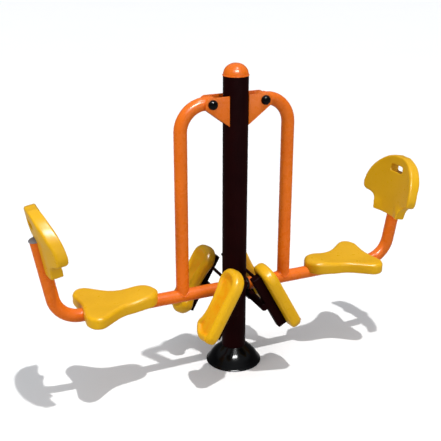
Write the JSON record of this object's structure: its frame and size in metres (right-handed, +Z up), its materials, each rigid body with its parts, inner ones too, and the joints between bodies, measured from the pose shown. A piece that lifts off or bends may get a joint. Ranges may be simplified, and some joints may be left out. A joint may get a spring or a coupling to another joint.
{
  "type": "leg press machine",
  "caption": "Outdoor leg press for two users: a central post carries swinging arms with seats and backrests, and fixed foot pedals to push against.",
  "frame": {"origin": "on the ground, at the centre of the post, the centre of the bounding box's bottom", "axes": "+X from the left user's side to the right user's side (the long direction), +Y along the pivot bolts from front to back (the short direction), +Z up"},
  "size_m": [1.903, 0.4846, 1.455],
  "materials": {
    "orange_paint": "smooth semi-gloss powder coat, orange",
    "dark_paint": "semi-gloss powder coat, very dark brown, nearly black",
    "yellow_plastic": "rotationally moulded plastic, fine satin grain, golden yellow",
    "black_plastic": "glossy black moulded plastic",
    "grey_plastic": "matt grey moulded plastic",
    "zinc_steel": "zinc-plated steel",
    "rubber": "matt black rubber"
  },
  "bodies": {
    "base": {"anchor_bolt_1": "zinc_steel", "anchor_bolt_2": "zinc_steel", "anchor_bolt_3": "zinc_steel", "anchor_bolt_4": "zinc_steel", "base_cover": "black_plastic", "base_flange": "zinc_steel", "bracket_left_back": "orange_paint", "bracket_left_front": "orange_paint", "bracket_right_back": "orange_paint", "bracket_right_front": "orange_paint", "pedal_bar_left": "dark_paint", "pedal_bar_right": "dark_paint", "pedal_frame_left_back": "dark_paint", "pedal_frame_left_front": "dark_paint", "pedal_frame_right_back": "dark_paint", "pedal_frame_right_front": "dark_paint", "pedal_left_back": "yellow_plastic", "pedal_left_front": "yellow_plastic", "pedal_right_back": "yellow_plastic", "pedal_right_front": "yellow_plastic", "pedal_rod_left": "dark_paint", "pedal_rod_right": "dark_paint", "pedal_screw_left_back": "zinc_steel", "pedal_screw_left_front": "zinc_steel", "pedal_screw_right_back": "zinc_steel", "pedal_screw_right_front": "zinc_steel", "pivot_bolt_left": "zinc_steel", "pivot_bolt_right": "zinc_steel", "pivot_cap_left_back": "black_plastic", "pivot_cap_left_front": "black_plastic", "pivot_cap_right_back": "black_plastic", "pivot_cap_right_front": "black_plastic", "pivot_nut_left": "zinc_steel", "pivot_nut_right": "zinc_steel", "post": "dark_paint", "post_cap": "orange_paint"},
    "left_arm": {"backrest_left": "yellow_plastic", "backrest_screw_left": "zinc_steel", "bearing_left_back": "zinc_steel", "bearing_left_front": "zinc_steel", "hub_left": "orange_paint", "seat_left": "yellow_plastic", "seat_screw_left_inner": "zinc_steel", "seat_screw_left_outer": "zinc_steel", "seat_tube_left": "orange_paint", "stop_buffer_left": "rubber", "swing_tube_left": "orange_paint", "tube_plug_left": "grey_plastic"},
    "right_arm": {"backrest_right": "yellow_plastic", "backrest_screw_right": "zinc_steel", "bearing_right_back": "zinc_steel", "bearing_right_front": "zinc_steel", "hub_right": "orange_paint", "seat_right": "yellow_plastic", "seat_screw_right_inner": "zinc_steel", "seat_screw_right_outer": "zinc_steel", "seat_tube_right": "orange_paint", "stop_buffer_right": "rubber", "swing_tube_right": "orange_paint", "tube_plug_right": "grey_plastic"}
  },
  "joints": [
    {"name": "left_arm_swing", "type": "hinge", "parent": "base", "child": "left_arm", "pos_m": [-0.127, 0, 1.289], "axis": [0, 1, 0], "range_deg": [0, 35]},
    {"name": "right_arm_swing", "type": "hinge", "parent": "base", "child": "right_arm", "pos_m": [0.127, 0, 1.289], "axis": [0, -1, 0], "range_deg": [0, 35]}
  ]
}
